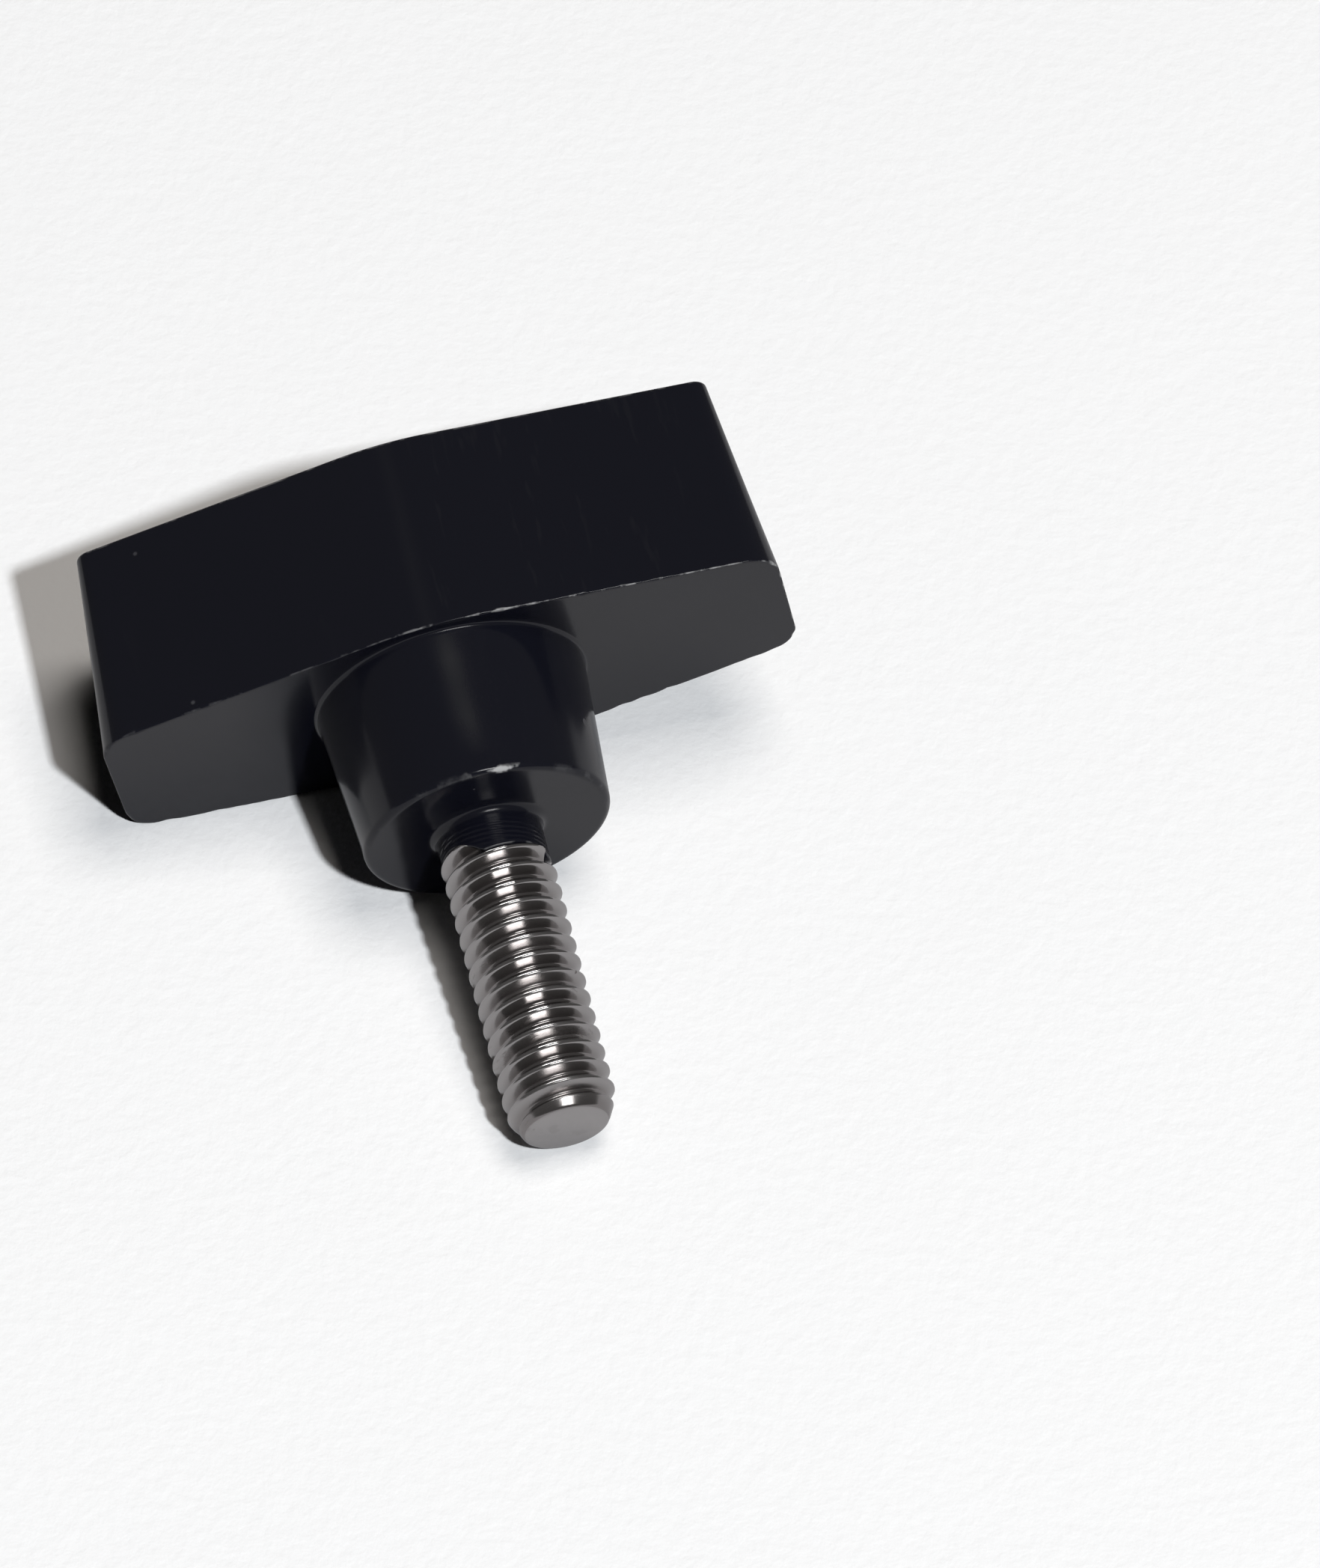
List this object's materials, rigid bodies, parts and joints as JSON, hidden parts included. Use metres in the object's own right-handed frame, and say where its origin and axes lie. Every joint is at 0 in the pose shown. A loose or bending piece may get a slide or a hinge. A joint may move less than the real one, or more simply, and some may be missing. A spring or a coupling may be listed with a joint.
{
  "type": "t-handle clamping knob",
  "caption": "Moulded plastic T-handle clamping knob with a tapered round boss, a short pilot collar and a fixed steel threaded stud.",
  "frame": {"origin": "on the stud's axis, in the flat end face of the boss that bears on the clamped part", "axes": "+Z along the stud's axis towards the top of the handle, so that the stud points along -Z; +X along the handle's length; +Y across it"},
  "size_m": [0.0486, 0.0208, 0.0504],
  "materials": {
    "body_plastic": "moulded gloss black",
    "stud_steel": "rolled stainless thread"
  },
  "bodies": {
    "root": {"knob_body": "body_plastic", "threaded_stud": "stud_steel"}
  },
  "joints": []
}
